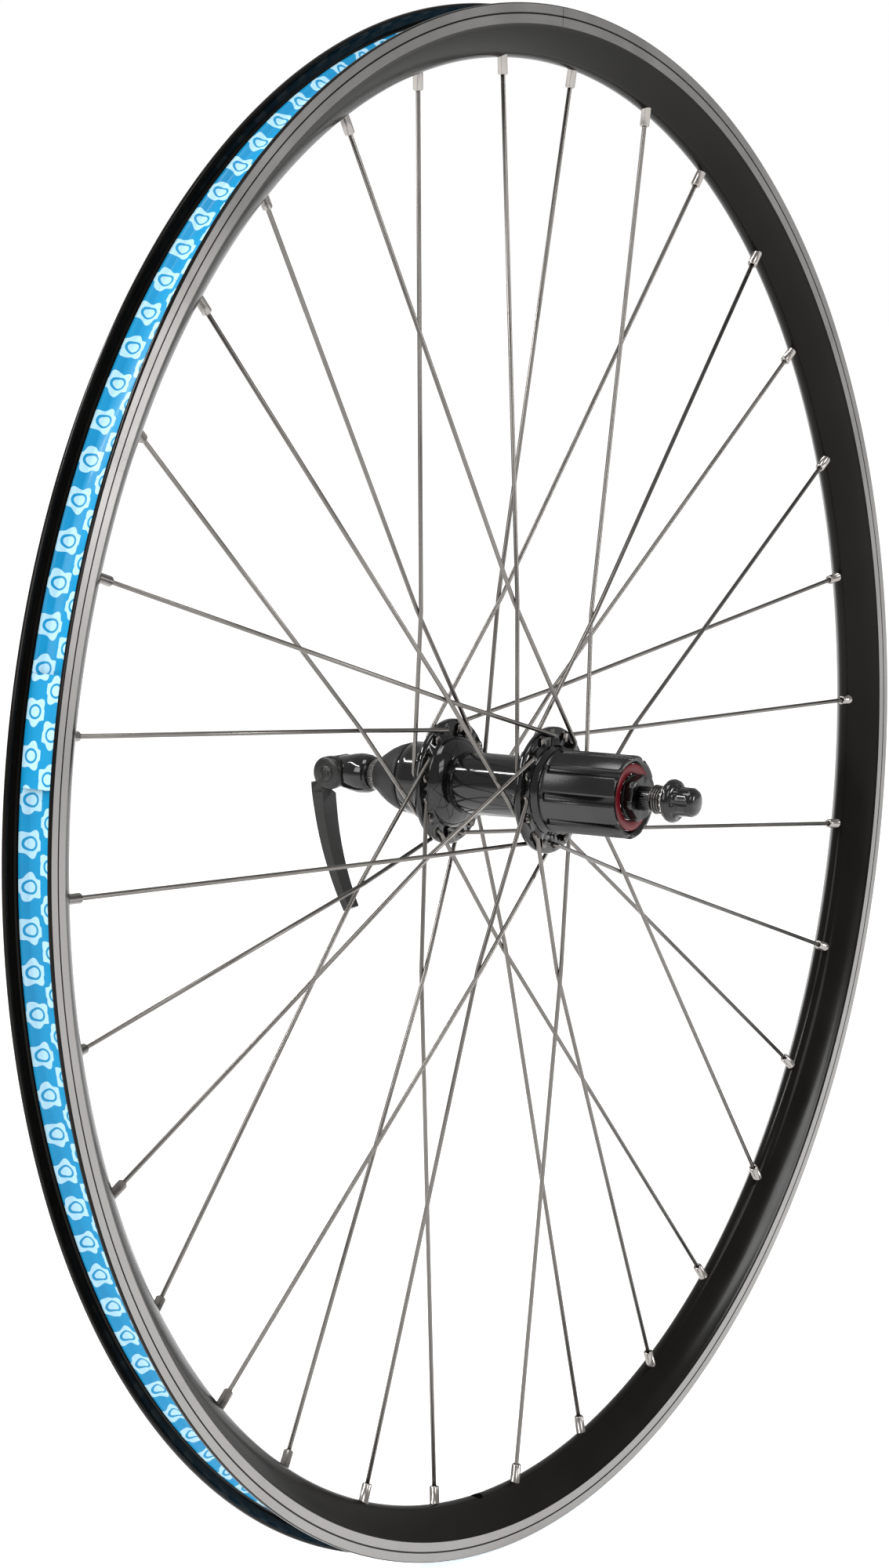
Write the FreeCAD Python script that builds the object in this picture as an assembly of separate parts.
"""Rear bicycle wheel: 622 mm rim, 32 crossed spokes, freehub, hollow axle and quick-release skewer.

Millimetres. The origin is the middle of the wheel on its axle, between the two locknut faces.
+Y runs along the axle to the lever side, -Y to the freehub (drive) side, +Z is up.
An outline is a list of (y, r) points: y along the axle, r out from it.
"""
import FreeCAD
import Part
import math
import os

Vec = FreeCAD.Vector
CENTRE = Vec(0, 0, 0)
ALONG_X = Vec(1, 0, 0)
ALONG_Y = Vec(0, 1, 0)
ALONG_Z = Vec(0, 0, 1)

# ---------------------------------------------------------------- driving dimensions
TOUCH = 0.05                    # gap between pieces that only touch
FLOAT = 0.3                     # gap between curved faces that move past each other

# rim (ISO 622) and what is threaded through it
RIM_R = 317.0                   # outer edge of the brake tracks
RIM_BASE_R = 295.4              # deepest point of the rim's inner face
RIM_HALF = 11.15                # half the width across the brake tracks
TRACK_END_R = 308.8             # inner edge of the brake track
WEAR_LINE_R = 312.8             # wear groove in the track
WELL_R = 308.3                  # floor of the tyre well
SPOKES = 32
FIRST_NIPPLE_DEG = 113.64
NIPPLE_STEP_DEG = 360.0 / SPOKES
VALVE_DEG = FIRST_NIPPLE_DEG - 18.5 * NIPPLE_STEP_DEG
VALVE_R = 3.25
HOLE_OFFSET = 1.2               # spoke holes lean this far to their own flange's side
NIPPLE_R = 2.0
NIPPLE_TIP_R = 288.4            # hub end of a nipple
NIPPLE_SEAT_R = 297.6           # under the nipple's head

# spokes
SPOKE_R = 0.9
HUB_HOLE_R = 22.5               # radius of the flange hole circle
FLANGE_HOLE_R = 1.25
CROSS_TURN_DEG = 67.5           # three crossings: a spoke turns this far between hub and rim
ELBOW_R = 2.2
WEAVE_R = 25.0                  # bend where two spokes of a side press past each other
SPOKE_END_R = 296.6

# hub
LOCKNUT_FACE = 65.0             # half the 130 mm over-locknut width
BARREL_R = 12.95
FLANGE_R = 26.0
FLANGE_T = 3.2
LEFT_FLANGE_IN = 25.8           # inboard face of the lever-side flange
DRIVE_FLANGE_IN = -19.4         # inboard face of the drive-side flange
SHELL_LEFT_END = 45.0
SHELL_LEFT_R = 15.4
SHELL_DRIVE_END = -25.4

# bearings
BALL_R = 3.175                  # quarter-inch hub balls
BALLS = 9
LEFT_BALL_Y, LEFT_BALL_PITCH = 40.5, 9.8
DRIVE_BALL_Y, DRIVE_BALL_PITCH = -55.5, 9.4
SMALL_BALL_R = 1.5875           # eighth-inch freehub balls
SMALL_BALLS = 24
SMALL_BALL_PITCH = 12.6
INNER_ROW_Y, OUTER_ROW_Y = -30.0, -49.5
RACE_GAP = 0.1

# freehub body
BODY_R = 17.0
SPLINE_ROOT_R = 15.7
SPLINES = 9
BODY_IN, BODY_OUT = -26.0, -61.0
LOCKRING_R = 14.8
BALL_BORE_R = 14.3
RATCHET_TIP_R, RATCHET_ROOT_R = 12.4, 13.6
RATCHET_TEETH = 24
RATCHET_Y = (-45.0, -34.0)
STEEP_FACE_DEG = 1.0            # where a tooth's driving face stands, just past a swung-out pawl
CORE_R = 10.9
PAWL_PLACES = (0.0, 180.0)
PAWL_PIVOT_R = 9.7
PAWL_Y = (-43.5, -36.5)
PAWL_T = 2.0
PAWL_LENGTH = 6.4
SPRING_GROOVE_Y = (-40.7, -39.3)
SPRING_GROOVE_R = 10.1

# axle
AXLE_R = 4.95
AXLE_BORE_R = 2.75
AXLE_END = 70.5
FIT_R = 4.65                    # bore of the pieces screwed on the axle

# quick release
ROD_R = 2.5
PIVOT_Y = 83.5                  # cam pivot, which lies along X
CAM_OFFSET = 1.1
CAM_R = 2.3
JOURNAL_R = 3.6
RUN = 0.06                      # radial running clearance of the cam journals
BARREL_X = (-4.3, 6.5)          # cam barrel of the housing
BARREL_HEAD_R = 6.6
HEAD_R = 7.0                    # lever head
HEAD_X = (-9.0, -4.6)
HANDLE_X = -3.5
NUT_FACE = -76.5
NUT_END = -90.5

os.makedirs("parts", exist_ok=True)


# ---------------------------------------------------------------- small tools
def save(name, *solids):
    shape = solids[0] if len(solids) == 1 else Part.makeCompound(list(solids))
    for solid in shape.Solids:
        if not solid.isValid():
            raise SystemExit(name + " has a bad solid")
    shape.exportStep("parts/" + name + ".step")
    print(f"{name}: {len(shape.Solids)} solids, {shape.Volume:.0f} mm3")


def turned(outline):
    """A full turn about the axle of a closed outline of (y, r) points."""
    points = [Vec(r, y, 0) for y, r in outline]
    face = Part.Face(Part.makePolygon(points + points[:1]))
    solid = face.revolve(CENTRE, ALONG_Y, 360)
    if solid.Volume < 0:
        solid.reverse()
    return solid


def tube(y1, y2, outer, inner=0.0):
    solid = Part.makeCylinder(outer, y2 - y1, Vec(0, y1, 0), ALONG_Y)
    if inner:
        solid = solid.cut(Part.makeCylinder(inner, y2 - y1 + 2, Vec(0, y1 - 1, 0), ALONG_Y))
    return solid


def x_cylinder(x1, x2, radius, y=PIVOT_Y, z=0.0):
    return Part.makeCylinder(radius, x2 - x1, Vec(x1, y, z), ALONG_X)


def box(x, y, z):
    return Part.makeBox(x[1] - x[0], y[1] - y[0], z[1] - z[0], Vec(x[0], y[0], z[0]))


def polar(radius, degrees, y=0.0):
    """A point at an angle from +X towards +Z."""
    angle = math.radians(degrees)
    return Vec(radius * math.cos(angle), y, radius * math.sin(angle))


def spun(shape, degrees):
    """A copy turned about the axle, from +X towards +Z."""
    copy = shape.copy()
    copy.rotate(CENTRE, ALONG_Y, -degrees)
    return copy


def around(shape, count, first=0.0):
    return [spun(shape, first + 360.0 * i / count) for i in range(count)]


def race(y, pitch, ball):
    """The ring that a row of balls sweeps, with its running gap."""
    return Part.makeTorus(pitch, ball + RACE_GAP, Vec(0, y, 0), ALONG_Y)


def ball_row(y, pitch, ball, count):
    return [Part.makeSphere(ball, polar(pitch, 360.0 * i / count, y)) for i in range(count)]


def arc_points(y0, r0, y1, r1, bulge, steps=8):
    """Points along an arc between two outline points; bulge is its height to the left of the run."""
    start, end = Vec(y0, r0, 0), Vec(y1, r1, 0)
    run = end - start
    side = Vec(-run.y, run.x, 0).normalize()
    arc = Part.Arc(start, (start + end) * 0.5 + side * bulge, end)
    return [(p.x, p.y) for p in arc.discretize(steps)]


def rounded_path(points, radii):
    """A wire of straight runs joined by tangent arcs, one radius for each inner point."""
    edges = []
    start = points[0]
    for i, radius in enumerate(radii, 1):
        corner = points[i]
        back = (points[i - 1] - corner).normalize()
        ahead = (points[i + 1] - corner).normalize()
        reach = radius / math.tan(back.getAngle(ahead) / 2)
        enter, leave = corner + back * reach, corner + ahead * reach
        inward = (back + ahead).normalize()
        middle = corner + inward * (math.hypot(radius, reach) - radius)
        edges.append(Part.makeLine(start, enter))
        edges.append(Part.Arc(enter, middle, leave).toShape())
        start = leave
    edges.append(Part.makeLine(start, points[-1]))
    return Part.Wire(edges)


def swept(path, radius):
    """A round bar along a path."""
    start = path.Edges[0].Vertexes[0].Point
    heading = path.Edges[0].Vertexes[1].Point - start
    ring = Part.Wire(Part.makeCircle(radius, start, heading))
    return path.makePipeShell([ring], True, True)


# ---------------------------------------------------------------- rim and tape
def bed_outline(lift):
    """Half of the tyre bed from the middle out to the seat, lifted off the metal."""
    return [(0.0, WELL_R + lift), (4.6, WELL_R + 0.1 + lift), (7.0, 310.7 + lift)]


def rim():
    """The long open ring, and the short section round the valve hole that closes it."""
    outer = [(9.4, RIM_R), (10.8, RIM_R), (RIM_HALF, RIM_R - 0.45),
             (RIM_HALF, WEAR_LINE_R + 0.3), (RIM_HALF - 0.35, WEAR_LINE_R + 0.12),
             (RIM_HALF - 0.35, WEAR_LINE_R - 0.12), (RIM_HALF, WEAR_LINE_R - 0.3),
             (RIM_HALF, TRACK_END_R), (RIM_HALF - 0.4, TRACK_END_R - 0.35)]
    outer += arc_points(RIM_HALF - 0.4, TRACK_END_R - 0.35, 4.6, 298.0, 0.5)[1:]
    outer += arc_points(4.6, 298.0, 0.0, RIM_BASE_R, 0.6, 5)[1:]
    bed = bed_outline(0.0) + [(9.2, 310.9), (9.9, 312.0), (9.9, 314.6), (9.1, 316.0)]
    half = bed + outer
    other = [(-y, r) for y, r in reversed(half) if abs(y) > 1e-6]
    solid = turned(half + other)
    hollow = [(0.0, 306.9), (5.2, 307.0), (7.4, 309.3), (9.4, 309.4), (9.3, 307.8),
              (7.3, 303.2), (4.0, 299.4), (2.2, 297.7), (0.0, 297.0)]
    mirror = [(-y, r) for y, r in reversed(hollow) if y > 0]
    solid = solid.cut(turned(hollow + mirror))
    drills = []
    for k in range(1, SPOKES + 1):
        degrees, side = nipple_angle(k), flange_side(k)
        y = side * HOLE_OFFSET
        seat, out = nipple_line(k)
        drills.append(Part.makeCylinder(NIPPLE_R + 0.12, 12, seat - out * 4, out))
        drills.append(Part.makeCylinder(2.55, 4.5, seat + out * 0.95, out))
        drills.append(Part.makeCylinder(3.6, 8, polar(304, degrees, y), polar(1, degrees)))
    drills.append(valve_drill(VALVE_R))
    solid = solid.cut(Part.makeCompound(drills))
    corners = [Vec(0, -20, 0)] + [polar(400, VALVE_DEG + turn, -20) for turn in (-4, 4)]
    sector = Part.Face(Part.makePolygon(corners + corners[:1])).extrude(ALONG_Y * 40)
    return solid.cut(sector), solid.common(sector)


def valve_drill(radius):
    return Part.makeCylinder(radius, 30, polar(290, VALVE_DEG), polar(1, VALVE_DEG))


def rim_tape():
    under = bed_outline(TOUCH) + [(8.0, 310.8 + TOUCH)]
    over = [(y, r + 0.4) for y, r in reversed(under)]
    left = [(-y, r) for y, r in reversed(under) if y > 0]
    left_over = [(-y, r + 0.4) for y, r in under if y > 0]
    return turned(left + under + over + left_over).cut(valve_drill(VALVE_R + 0.4))


# ---------------------------------------------------------------- spokes and nipples
def nipple_angle(k):
    return FIRST_NIPPLE_DEG - (k - 1) * NIPPLE_STEP_DEG


def flange_side(k):
    """Odd spokes go to the drive-side flange, even ones to the lever side."""
    return -1 if k % 2 else 1


def hub_angle(k):
    return nipple_angle(k) + (CROSS_TURN_DEG if k % 4 in (2, 3) else -CROSS_TURN_DEG)


def heads_inside(k):
    """Whether the spoke runs down the outboard face, with its head on the inboard one."""
    return k % 4 in (1, 2)


def crossing_reach():
    """How far from its hub hole a spoke meets its outermost crossing."""
    nipple, hub = polar(NIPPLE_SEAT_R, 0), polar(HUB_HOLE_R, CROSS_TURN_DEG)
    run = (nipple - hub).normalize()
    foot = hub - run * hub.dot(run)
    from_foot = foot.Length * math.tan(foot.getAngle(polar(1, NIPPLE_STEP_DEG)))
    return from_foot - hub.dot(run)


def spoke_points(k):
    """Head end, elbow corner, weave and rim end of spoke k."""
    side = flange_side(k)
    inner_face = LEFT_FLANGE_IN if side > 0 else DRIVE_FLANGE_IN
    outer_face = inner_face + side * FLANGE_T
    nipple, hub = polar(NIPPLE_SEAT_R, nipple_angle(k)), polar(HUB_HOLE_R, hub_angle(k))
    run = (nipple - hub).normalize()
    reach = crossing_reach()
    weave_y = inner_face - side * 4.3
    if heads_inside(k):
        head_y, elbow_y = inner_face - side * 0.3, outer_face + side * 1.95
        weave_y -= side * (SPOKE_R + TOUCH)
    else:
        head_y, elbow_y = outer_face + side * 0.3, inner_face - side * 1.0
        weave_y += side * (SPOKE_R + TOUCH)
    end = polar(SPOKE_END_R, nipple_angle(k), side * HOLE_OFFSET)
    return [hub + ALONG_Y * head_y, hub + ALONG_Y * elbow_y,
            hub + run * reach + ALONG_Y * weave_y, end]


def spoke(k):
    points = spoke_points(k)
    bar = swept(rounded_path(points, [ELBOW_R, WEAVE_R]), SPOKE_R)
    out = (points[0] - points[1]).normalize()
    head = Part.makeCone(1.35, 1.9, 0.7, points[0] - out * 0.2, out)
    cap = Part.makeCylinder(1.9, 0.4, points[0] + out * 0.5, out)
    return bar.fuse([head, cap]).removeSplitter()


def nipple_line(k):
    """Where the nipple of spoke k sits, and its direction out of the wheel."""
    points = spoke_points(k)
    out = (points[3] - points[2]).normalize()
    return points[3] + out * (NIPPLE_SEAT_R - SPOKE_END_R), out


def nipple(k):
    seat, out = nipple_line(k)
    into_hub = out * -1
    length = NIPPLE_SEAT_R - NIPPLE_TIP_R
    barrel = Part.makeCylinder(NIPPLE_R, length + 0.6, seat - into_hub * 1.1, into_hub)
    tip = Part.makeCone(NIPPLE_R, NIPPLE_R - 0.4, 0.5, seat + into_hub * (length - 0.5), into_hub)
    head = Part.makeCylinder(2.4, 2.2, seat - into_hub * 3.2, into_hub)
    bore = Part.makeCylinder(SPOKE_R + TOUCH, length + 4, seat - into_hub * 3, into_hub)
    return barrel.fuse([tip, head]).cut(bore)


def spoke_group(k):
    """The eight spokes that repeat spoke k around the wheel."""
    return around(spoke(k), SPOKES // 4)


def nipples():
    return [copy for k in (1, 2, 3, 4) for copy in around(nipple(k), SPOKES // 4)]


# ---------------------------------------------------------------- hub shell and its cups
def hub_shell():
    left_out = LEFT_FLANGE_IN + FLANGE_T
    drive_out = DRIVE_FLANGE_IN - FLANGE_T
    chamfer = 0.7
    outline = [(SHELL_LEFT_END, 14.85), (SHELL_LEFT_END, SHELL_LEFT_R - 0.8),
               (SHELL_LEFT_END - 0.8, SHELL_LEFT_R)]
    outline += [(33.5, SHELL_LEFT_R + 0.2)]
    outline += arc_points(33.5, SHELL_LEFT_R + 0.2, left_out, 19.6, -0.8, 6)[1:]
    outline += [(left_out, FLANGE_R - chamfer), (left_out - chamfer, FLANGE_R),
                (LEFT_FLANGE_IN + chamfer, FLANGE_R), (LEFT_FLANGE_IN, FLANGE_R - chamfer)]
    outline += arc_points(LEFT_FLANGE_IN, 19.8, 19.5, BARREL_R, -1.4)
    outline += arc_points(-13.1, BARREL_R, DRIVE_FLANGE_IN, 19.8, -1.4)
    outline += [(DRIVE_FLANGE_IN, FLANGE_R - chamfer), (DRIVE_FLANGE_IN - chamfer, FLANGE_R),
                (drive_out + chamfer, FLANGE_R), (drive_out, FLANGE_R - chamfer),
                (drive_out, 15.0), (SHELL_DRIVE_END, 15.0)]
    outline += [(SHELL_DRIVE_END, 10.05), (-15.5, 10.05), (-15.5, 7.1), (-8.0, 7.1),
                (-6.0, 9.5), (33.0, 9.5), (36.0, 8.4), (36.0, 14.05), (42.4, 14.05), (42.4, 14.85)]
    shell = turned(outline)
    drills = []
    for k in range(1, SPOKES + 1):
        inner_face = LEFT_FLANGE_IN if flange_side(k) > 0 else DRIVE_FLANGE_IN - FLANGE_T
        start = polar(HUB_HOLE_R, hub_angle(k), inner_face - 1)
        drills.append(Part.makeCylinder(FLANGE_HOLE_R, FLANGE_T + 2, start, ALONG_Y))
    return shell.cut(Part.makeCompound(drills))


def left_cup():
    ring = turned([(36.05, 8.5), (36.05, 14.0), (42.3, 14.0), (42.3, 12.8), (38.0, 8.5)])
    return ring.cut(race(LEFT_BALL_Y, LEFT_BALL_PITCH, BALL_R))


def left_dust_cap():
    return turned([(42.5, 14.0), (42.5, 14.8), (45.0, 14.8), (45.5, 14.4), (45.5, 10.2),
                   (44.6, 9.9), (44.3, 10.4), (44.9, 10.7), (44.9, 14.0)])


def drive_collar():
    """Two stepped rings that shield the gap between the flange and the freehub."""
    return turned([(-22.65, 15.1), (-22.65, 18.6), (-23.6, 18.6), (-23.9, 17.9), (-24.5, 17.9),
                   (-24.8, 17.3), (-25.6, 17.3), (-25.6, 15.1)])


# ---------------------------------------------------------------- freehub
def freehub_core():
    """The splined carrier that is bolted into the shell and holds the pawls."""
    core = turned([(-16.0, 7.15), (-16.0, 10.0), (-25.5, 10.0), (-25.5, 12.0), (-28.2, 12.0),
                   (-30.2, CORE_R), (-50.2, CORE_R), (-50.2, 8.85), (-43.8, 8.85), (-43.8, 7.15)])
    core = core.cut(race(INNER_ROW_Y, SMALL_BALL_PITCH, SMALL_BALL_R))
    for degrees in PAWL_PLACES:
        core = core.cut(pawl_pocket(degrees))
    return core.cut(tube(*SPRING_GROOVE_Y, CORE_R + 1, SPRING_GROOVE_R))


def pawl_pocket(degrees):
    """Room in the carrier for one pawl, its heel and its swing."""
    heel = Part.makeCylinder(1.15 + RUN, PAWL_Y[1] - PAWL_Y[0] + 0.6,
                             Vec(PAWL_PIVOT_R, PAWL_Y[0] - 0.3, 0), ALONG_Y)
    slot = box((PAWL_PIVOT_R - 0.75, 12), (PAWL_Y[0] - 0.3, PAWL_Y[1] + 0.3),
               (-0.5, PAWL_LENGTH + 1.5))
    return spun(heel.fuse(slot), degrees)


def pawl(degrees):
    """A pawl at rest: its tip lies just inside the ratchet's tooth tips."""
    heel = Part.makeCylinder(1.15, PAWL_Y[1] - PAWL_Y[0], Vec(PAWL_PIVOT_R, PAWL_Y[0], 0), ALONG_Y)
    arm = box((PAWL_PIVOT_R - 0.2, PAWL_PIVOT_R + PAWL_T - 0.9), PAWL_Y, (0, PAWL_LENGTH))
    body = heel.fuse(arm).cut(tube(PAWL_Y[0] - 1, PAWL_Y[1] + 1, 14, 12.1))
    notch = tube(*SPRING_GROOVE_Y, 13, SPRING_GROOVE_R)
    return spun(body.cut(notch).removeSplitter(), degrees)


def pawl_spring():
    """A split wire ring lying in the carrier's groove over both pawls."""
    ring = Part.makeTorus(CORE_R - 0.35, 0.3, Vec(0, -40.0, 0), ALONG_Y)
    return ring.cut(box((-1.2, 1.2), (-42, -38), (8, 13)))


def freehub_end_cup():
    """Screwed into the carrier: outer ball cone outside, hub ball cup inside."""
    cup = turned([(-45.5, 6.3), (-45.5, 8.8), (-50.3, 8.8), (-50.3, CORE_R), (-51.2, 12.4),
                  (-52.0, 13.7), (-59.0, 13.7), (-59.0, 12.8), (-52.8, 6.9), (-50.0, 6.3)])
    cup = cup.cut(race(DRIVE_BALL_Y, DRIVE_BALL_PITCH, BALL_R))
    return cup.cut(race(OUTER_ROW_Y, SMALL_BALL_PITCH, SMALL_BALL_R))


def freehub_bolt():
    """The hollow bolt that clamps the carrier into the shell."""
    shank = tube(-44.0, -8.2, 7.0, 5.6)
    head = tube(-45.4, -43.85, 8.7, 5.6)
    hexagon = Part.makePolygon([polar(6.7, 60 * i, -46) for i in range(7)])
    key = Part.Face(hexagon).extrude(ALONG_Y * 2.2)
    return shank.fuse(head).cut(key).removeSplitter()


def freehub_body():
    bore = [(BODY_IN, BALL_BORE_R), (INNER_ROW_Y, BALL_BORE_R), (INNER_ROW_Y, RATCHET_TIP_R),
            (OUTER_ROW_Y, RATCHET_TIP_R), (OUTER_ROW_Y, BALL_BORE_R), (-57.0, BALL_BORE_R),
            (-57.0, LOCKRING_R), (BODY_OUT, LOCKRING_R)]
    outside = [(BODY_OUT, BODY_R - 0.9), (BODY_OUT + 0.9, BODY_R), (BODY_IN - 2.4, BODY_R),
               (BODY_IN - 2.4, BODY_R + 0.6), (BODY_IN - 0.4, BODY_R + 0.6), (BODY_IN, BODY_R + 0.2)]
    body = turned(bore + outside)
    body = body.cut(race(INNER_ROW_Y, SMALL_BALL_PITCH, SMALL_BALL_R))
    body = body.cut(race(OUTER_ROW_Y, SMALL_BALL_PITCH, SMALL_BALL_R))
    grooves = []
    for i in range(SPLINES):
        width = 2.2 if i == 0 else 3.4
        groove = box((SPLINE_ROOT_R, BODY_R + 2), (BODY_OUT - 1, BODY_IN - 2.4), (-width / 2, width / 2))
        grooves.append(spun(groove, 360.0 * i / SPLINES + 20))
    return body.cut(Part.makeCompound(grooves + ratchet_gaps()))


def ratchet_gaps():
    """Saw-tooth gaps: a steep driving face and a long ramp."""
    pitch = 360.0 / RATCHET_TEETH
    drive = STEEP_FACE_DEG
    corners = [polar(RATCHET_TIP_R - 0.3, drive), polar(RATCHET_ROOT_R, drive),
               polar(RATCHET_ROOT_R, drive - 0.45 * pitch), polar(RATCHET_TIP_R, drive - 0.86 * pitch),
               polar(RATCHET_TIP_R - 0.3, drive - 0.86 * pitch)]
    face = Part.Face(Part.makePolygon(corners + corners[:1]))
    gap = face.extrude(ALONG_Y * (RATCHET_Y[1] - RATCHET_Y[0]))
    gap.translate(ALONG_Y * RATCHET_Y[0])
    return around(gap, RATCHET_TEETH)


def freehub_seal():
    return turned([(-59.1, 9.8), (-59.1, 13.6), (-60.1, 13.6), (-60.4, 13.2), (-60.4, 10.1),
                   (-60.0, 9.8)])


# ---------------------------------------------------------------- axle and what is screwed on it
def axle():
    """Hollow; between the locknuts its thread is drawn at its root, thinner than the two ends."""
    outline = [(-AXLE_END, AXLE_BORE_R), (-AXLE_END, AXLE_R), (-LOCKNUT_FACE, AXLE_R),
               (-LOCKNUT_FACE, FIT_R - 0.05), (LOCKNUT_FACE, FIT_R - 0.05),
               (LOCKNUT_FACE, AXLE_R - 0.05), (AXLE_END - 1.5, AXLE_R - 0.05),
               (AXLE_END, AXLE_R - 0.8), (AXLE_END, AXLE_BORE_R)]
    return turned(outline)


def left_cone():
    cone = turned([(39.4, FIT_R), (39.4, 6.4), (41.4, 6.4), (44.4, 9.0), (45.0, 9.4), (49.0, 9.4),
                   (49.4, 9.0), (52.0, 9.0), (52.0, FIT_R)])
    return with_flats(cone.cut(race(LEFT_BALL_Y, LEFT_BALL_PITCH, BALL_R)), 49.4, 52.0, 7.5)


def right_cone():
    cone = turned([(-54.4, FIT_R), (-54.4, 6.0), (-56.4, 6.0), (-59.2, 8.6), (-60.2, 8.6),
                   (-60.2, FIT_R)])
    return cone.cut(race(DRIVE_BALL_Y, DRIVE_BALL_PITCH, BALL_R))


def with_flats(solid, y1, y2, half):
    """Two wrench flats, half is their distance from the axle's centre."""
    for sign in (-1, 1):
        z = (half, half + 9) if sign > 0 else (-half - 9, -half)
        solid = solid.cut(box((-20, 20), (y1, y2), z))
    return solid


def right_dust_cap():
    """A thin pressed cover on the cone, seen inside the red seal."""
    return turned([(-60.25, FIT_R), (-60.25, 9.3), (-60.9, 9.3), (-61.1, 8.9), (-61.1, FIT_R)])


def right_locknut():
    hexagon = Part.makePolygon([polar(17.0 / math.sqrt(3), 60 * i + 14, -65) for i in range(7)])
    nut = Part.Face(hexagon).extrude(ALONG_Y * 3.8)
    rounding = turned([(-65, 0), (-65, 8.8), (-64.3, 9.7), (-61.9, 9.7), (-61.2, 9.0), (-61.2, 0)])
    return nut.common(rounding).cut(tube(-66, -60, FIT_R))


def left_locknut():
    """A round nut whose narrow serrated nose presses on the dropout."""
    nut = turned([(55.6, FIT_R), (55.6, 8.0), (58.0, 8.0), (59.4, 6.4), (64.7, 6.4), (65.0, 6.1),
                  (65.0, FIT_R)])
    nicks = []
    for i in range(36):
        nicks.append(spun(box((6.25, 7), (62.4, 66), (-0.14, 0.14)), 10 * i))
    return nut.cut(Part.makeCompound(nicks))


def left_boot():
    """A rubber cone from the locknut's nose out over the cone, to the shell's mouth."""
    return turned([(61.8, 6.45), (61.8, 6.9), (61.2, 7.2), (58.0, 9.6), (54.0, 12.1), (50.6, 13.6),
                   (47.6, 14.5), (46.6, 14.7), (46.0, 14.3), (46.0, 13.4), (47.4, 13.2),
                   (50.2, 12.4), (53.4, 10.9), (57.5, 8.5), (60.6, 6.45)])


# ---------------------------------------------------------------- quick release
def cam_housing():
    base = [(65.3, 5.85), (65.3, 6.6), (66.0, 7.4), (67.5, 8.05), (70.2, 8.4), (72.0, 8.4),
            (75.0, 8.0), (79.0, 7.1), (82.0, BARREL_HEAD_R - 0.1), (85.0, BARREL_HEAD_R - 0.1),
            (85.0, 0.0), (74.5, 0.0), (74.5, 5.85)]
    body = turned(base).fuse(x_cylinder(BARREL_X[0], BARREL_X[1], BARREL_HEAD_R))
    body = body.removeSplitter()
    eye_room = box((-2.7, 2.7), (75.8, 88.8), (-5.4, 5.4))
    corner_trim = x_cylinder(-3, 3, 6.0).common(eye_room)
    lower = box((-2.7, 2.7), (75.8, 83.5), (-5.4, 5.4))
    body = body.cut(corner_trim.fuse(lower))
    body = body.cut(x_cylinder(-8, 8, JOURNAL_R + RUN))
    body = body.cut(x_cylinder(-12, BARREL_X[0] - 0.01, HEAD_R + 0.2))
    body = body.cut(x_cylinder(BARREL_X[1] + 0.2, 12, 5.3))
    return body.cut(tube(70, 80, ROD_R + 0.35))


def cam_shaft():
    near = x_cylinder(-8.4, -2.5, JOURNAL_R)
    far = x_cylinder(2.5, 6.9, JOURNAL_R)
    cam = x_cylinder(-2.6, 2.6, CAM_R, PIVOT_Y + CAM_OFFSET)
    return near.fuse([cam, far]).removeSplitter()


def shaft_cap():
    """A pressed cap that closes the lever head's round recess."""
    return x_cylinder(-9.3, -8.45, 3.2)


def shaft_clip():
    """A ring that keeps the cam shaft in the housing on its far side."""
    ring = x_cylinder(6.95, 7.75, 5.0)
    return ring.fuse(x_cylinder(6.9, 7.0, 3.4)).removeSplitter()


def handle_line(length):
    """A point of the handle's middle line: it bends towards the wheel as it goes down."""
    bend_r, start_tilt = 132.0, math.radians(2.5)
    turn = start_tilt + length / bend_r
    y = 88.6 - bend_r * (math.cos(start_tilt) - math.cos(turn))
    z = -4.0 - bend_r * (math.sin(turn) - math.sin(start_tilt))
    return y, z, turn


def lever():
    """Head disc, then a flat handle that narrows and thins towards its squared tip."""
    reach, steps = 55.5, 12
    inner, outer = [], []
    for i in range(steps + 1):
        y, z, turn = handle_line(reach * i / steps)
        half = 2.6 - 1.0 * i / steps
        inner.append(Vec(0, y - half * math.cos(turn), z + half * math.sin(turn)))
        outer.append(Vec(0, y + half * math.cos(turn), z - half * math.sin(turn)))
    corners = inner + outer[::-1]
    band = Part.Face(Part.makePolygon(corners + corners[:1])).extrude(ALONG_X * 30)
    band.translate(ALONG_X * -15)
    front = [(-9.0, 6.0), (-9.0, -8.0), (HANDLE_X - 5.0, -16.0), (HANDLE_X - 3.9, -46.0),
             (HANDLE_X - 3.5, -62.0), (HANDLE_X + 3.5, -62.0), (HANDLE_X + 3.9, -46.0),
             (HANDLE_X + 5.0, -16.0), (HANDLE_X + 5.0, -9.5), (-4.6, -6.0), (-4.6, 6.0)]
    sheet = [Vec(x, 60, z) for x, z in front]
    outline = Part.Face(Part.makePolygon(sheet + sheet[:1])).extrude(ALONG_Y * 50)
    handle = band.common(outline)
    head = x_cylinder(HEAD_X[0] + 0.8, HEAD_X[1], HEAD_R)
    face = Part.makeCone(HEAD_R - 1.1, HEAD_R, 0.8, Vec(HEAD_X[0], PIVOT_Y, 0), ALONG_X)
    solid = handle.fuse([head, face])
    solid = solid.cut(x_cylinder(HEAD_X[1], 12, HEAD_R + 0.15))
    solid = solid.cut(x_cylinder(-8.4, -4, JOURNAL_R))
    return solid.cut(x_cylinder(-10, -8.3, 3.25)).removeSplitter()


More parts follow.
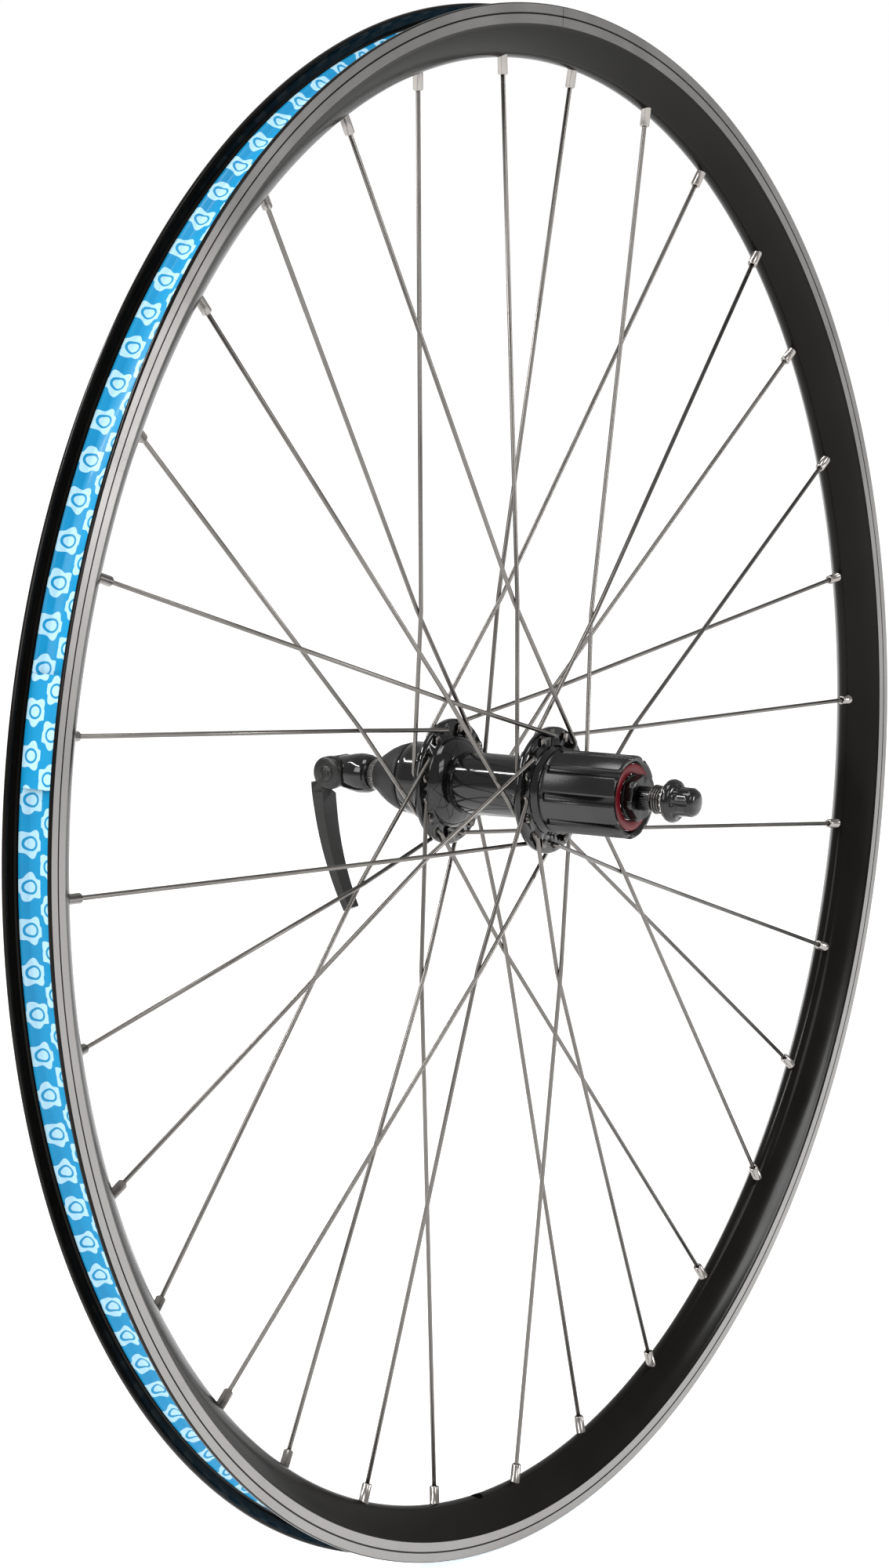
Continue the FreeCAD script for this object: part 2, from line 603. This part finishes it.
def skewer_rod():
    """The draw rod, with the eye that the cam turns in."""
    rod = tube(NUT_END + 2.5, 80.0, ROD_R)
    eye = x_cylinder(-2.4, 2.4, 5.0, PIVOT_Y - 0.05)
    eye = eye.fuse(tube(78.4, 80.5, 2.4 + 0.9).common(box((-2.4, 2.4), (77, 81), (-4, 4))))
    return rod.fuse(eye).cut(x_cylinder(-3, 3, 4.05, PIVOT_Y - 0.05)).removeSplitter()


def skewer_nut():
    """Round flange towards the dropout, then a ribbed grip with a domed end."""
    shape = turned([(NUT_FACE - 1.0, 4.3), (NUT_FACE - 1.0, 7.6), (-78.2, 8.7), (-79.4, 8.9),
                    (-80.8, 8.4), (-82.0, 6.6), (-83.0, 6.0), (-88.4, 5.9), (-89.8, 5.0),
                    (NUT_END, 3.6), (NUT_END, 0.0), (-89.0, 0.0), (-89.0, 4.3)])
    flutes = []
    for i in range(8):
        flute = Part.makeCylinder(1.5, 10, polar(7.15, 45 * i, NUT_END - 1), ALONG_Y)
        flutes.append(flute)
    return shape.cut(Part.makeCompound(flutes))


def nut_insert():
    """The threaded steel core of the nut, with the serrated face that bites the dropout."""
    core = tube(-88.9, NUT_FACE - 1.0, 4.2, ROD_R + 0.06)
    flange = tube(NUT_FACE - 0.95, NUT_FACE, 7.2, ROD_R + 0.06)
    joined = core.fuse([flange, tube(NUT_FACE - 1.0, NUT_FACE - 0.95, 4.2, ROD_R + 0.06)])
    nicks = [spun(box((4.4, 8), (NUT_FACE - 0.35, NUT_FACE + 1), (-0.22, 0.22)), 18 * i)
             for i in range(20)]
    return joined.cut(Part.makeCompound(nicks)).removeSplitter()


def spring(y1, y2, radius1, radius2, wire):
    """A conical coil spring as the plain hollow cone that its coils fill; radii are the wire's."""
    return turned([(y1, radius1 - wire), (y1, radius1 + wire), (y2, radius2 + wire),
                   (y2, radius2 - wire)])


def main():
    long_ring, valve_section = rim()
    save("rim", long_ring)
    save("rim_valve_section", valve_section)
    save("rim_tape", rim_tape())
    save("nipples", *nipples())
    save("drive_spokes_leading", *spoke_group(1))
    save("left_spokes_trailing", *spoke_group(2))
    save("drive_spokes_trailing", *spoke_group(3))
    save("left_spokes_leading", *spoke_group(4))
    save("hub_shell", hub_shell())
    save("left_bearing_cup", left_cup())
    save("left_dust_cap", left_dust_cap())
    save("drive_collar", drive_collar())
    save("freehub_core", freehub_core())
    save("freehub_end_cup", freehub_end_cup())
    save("freehub_bolt", freehub_bolt())
    save("freehub_body", freehub_body())
    save("freehub_seal", freehub_seal())
    save("pawl_a", pawl(PAWL_PLACES[0]))
    save("pawl_b", pawl(PAWL_PLACES[1]))
    save("pawl_spring", pawl_spring())
    save("left_balls", *ball_row(LEFT_BALL_Y, LEFT_BALL_PITCH, BALL_R, BALLS))
    save("right_balls", *ball_row(DRIVE_BALL_Y, DRIVE_BALL_PITCH, BALL_R, BALLS))
    save("freehub_inner_balls",
         *ball_row(INNER_ROW_Y, SMALL_BALL_PITCH, SMALL_BALL_R, SMALL_BALLS))
    save("freehub_outer_balls",
         *ball_row(OUTER_ROW_Y, SMALL_BALL_PITCH, SMALL_BALL_R, SMALL_BALLS))
    save("axle", axle())
    save("left_cone", left_cone())
    save("right_cone", right_cone())
    save("left_spacer", tube(52.05, 55.55, 7.2, FIT_R))
    save("left_locknut", left_locknut())
    save("right_locknut", right_locknut())
    save("right_dust_cap", right_dust_cap())
    save("left_boot", left_boot())
    save("cam_housing", cam_housing())
    save("cam_shaft", cam_shaft())
    save("lever", lever())
    save("lever_cap", shaft_cap())
    save("shaft_clip", shaft_clip())
    save("skewer_rod", skewer_rod())
    save("skewer_nut", skewer_nut())
    save("nut_insert", nut_insert())
    save("nut_spring", spring(NUT_FACE + 0.1, -AXLE_END - 0.1, 4.9, 5.6, 0.5))
    save("lever_spring", spring(AXLE_END + 0.1, 74.4, 4.2, 3.4, 0.5))


main()
